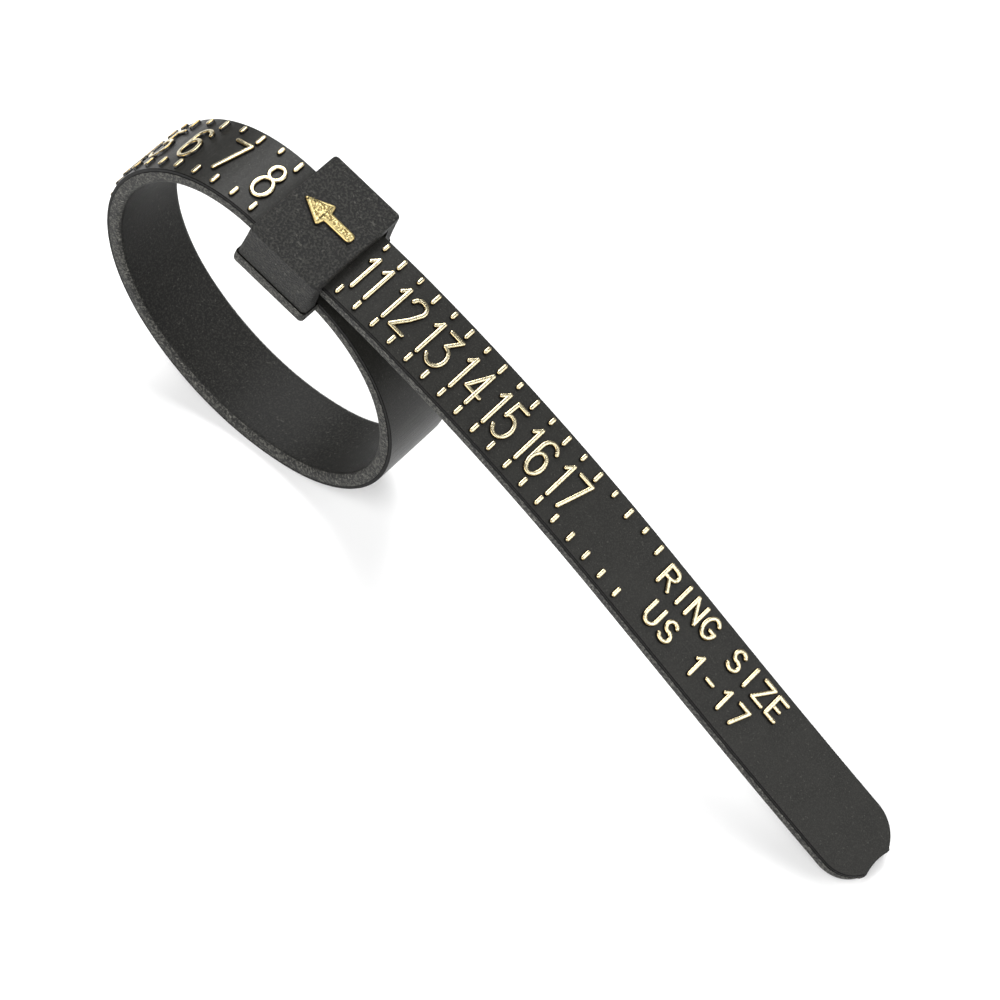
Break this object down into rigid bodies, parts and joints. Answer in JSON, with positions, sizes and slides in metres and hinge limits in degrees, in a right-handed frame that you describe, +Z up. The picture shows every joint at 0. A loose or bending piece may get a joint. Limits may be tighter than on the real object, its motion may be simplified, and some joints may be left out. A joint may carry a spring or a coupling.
{
  "type": "adjustable ring sizer",
  "caption": "Flexible black plastic belt ring sizer: a numbered strip loops round the finger and slides back through its own buckle, with gold raised marks.",
  "frame": {"origin": "middle of the footprint on the table, with the loop and the tail's tip both touching it", "axes": "+X along the tail, from the loop towards the tip; +Y across the strip, away from the viewer's side; +Z up"},
  "size_m": [0.055, 0.0072, 0.0206],
  "materials": {
    "buckle_plastic": "fine spark-eroded grain",
    "band_plastic": "semi-gloss outer face with fine streaks, grained edges and inner face",
    "gold_foil": "hot-pressed champagne gold foil over moulded black plastic"
  },
  "bodies": {
    "buckle": {"buckle_base": "buckle_plastic", "buckle_hood": "buckle_plastic", "buckle_arrow": "gold_foil"},
    "tail": {"band_tail": "band_plastic", "numeral_09": "gold_foil", "numeral_10_tens": "gold_foil", "numeral_10_units": "gold_foil", "numeral_11_tens": "gold_foil", "numeral_11_units": "gold_foil", "numeral_12_tens": "gold_foil", "numeral_12_units": "gold_foil", "numeral_13_tens": "gold_foil", "numeral_13_units": "gold_foil", "numeral_14_tens": "gold_foil", "numeral_14_units": "gold_foil", "numeral_15_tens": "gold_foil", "numeral_15_units": "gold_foil", "numeral_16_tens": "gold_foil", "numeral_16_units": "gold_foil", "numeral_17_tens": "gold_foil", "numeral_17_units": "gold_foil"},
    "bend_22": {"band_link_22": "band_plastic", "numeral_08": "gold_foil", "band_link_21": "band_plastic", "numeral_07": "gold_foil", "band_link_20": "band_plastic", "numeral_06": "gold_foil", "band_link_19": "band_plastic", "numeral_05": "gold_foil"},
    "bend_18": {"band_link_18": "band_plastic", "numeral_04": "gold_foil", "band_link_17": "band_plastic", "numeral_03": "gold_foil", "band_link_16": "band_plastic", "numeral_02": "gold_foil", "band_link_15": "band_plastic", "numeral_01": "gold_foil"},
    "bend_14": {"band_link_14": "band_plastic", "band_link_13": "band_plastic", "band_link_12": "band_plastic", "band_link_11": "band_plastic"},
    "bend_10": {"band_link_10": "band_plastic", "band_link_09": "band_plastic", "band_link_08": "band_plastic", "band_link_07": "band_plastic"},
    "bend_06": {"band_link_06": "band_plastic", "band_link_05": "band_plastic", "band_link_04": "band_plastic", "band_link_03": "band_plastic"},
    "bend_02": {"band_link_02": "band_plastic", "band_link_01": "band_plastic"}
  },
  "joints": [
    {"name": "tail_slide", "type": "slide", "parent": "buckle", "child": "tail", "axis": [0.9722, 0, -0.2343], "range_m": [-0.00511, 0.00255]},
    {"name": "flex_22", "type": "hinge", "parent": "tail", "child": "bend_22", "pos_m": [-0.01683, 0, 0.01928], "axis": [0, -1, 0], "range_deg": [-3.1, 6.1]},
    {"name": "flex_18", "type": "hinge", "parent": "bend_22", "child": "bend_18", "pos_m": [-0.02549, 0, 0.01532], "axis": [0, -1, 0], "range_deg": [-2.99, 5.89]},
    {"name": "flex_14", "type": "hinge", "parent": "bend_18", "child": "bend_14", "pos_m": [-0.02537, 0, 0.00561], "axis": [0, -1, 0], "range_deg": [-9.56, 4.83]},
    {"name": "flex_10", "type": "hinge", "parent": "bend_14", "child": "bend_10", "pos_m": [-0.01687, 0, 0.00057], "axis": [0, -1, 0], "range_deg": [-7.24, 3.67]},
    {"name": "flex_06", "type": "hinge", "parent": "bend_10", "child": "bend_06", "pos_m": [-0.00792, 0, 0.0043], "axis": [0, -1, 0], "range_deg": [-7.56, 3.83]},
    {"name": "flex_02", "type": "hinge", "parent": "bend_06", "child": "bend_02", "pos_m": [-0.00835, 0, 0.01384], "axis": [0, -1, 0], "range_deg": [-6.24, 12.37]}
  ],
  "couplings": [
    {"joint": "flex_22", "follows": "tail_slide", "rad_per_m": -20.505},
    {"joint": "flex_18", "follows": "tail_slide", "rad_per_m": -19.771},
    {"joint": "flex_14", "follows": "tail_slide", "rad_per_m": 32.331},
    {"joint": "flex_10", "follows": "tail_slide", "rad_per_m": 24.393},
    {"joint": "flex_06", "follows": "tail_slide", "rad_per_m": 25.501},
    {"joint": "flex_02", "follows": "tail_slide", "rad_per_m": -41.949}
  ]
}
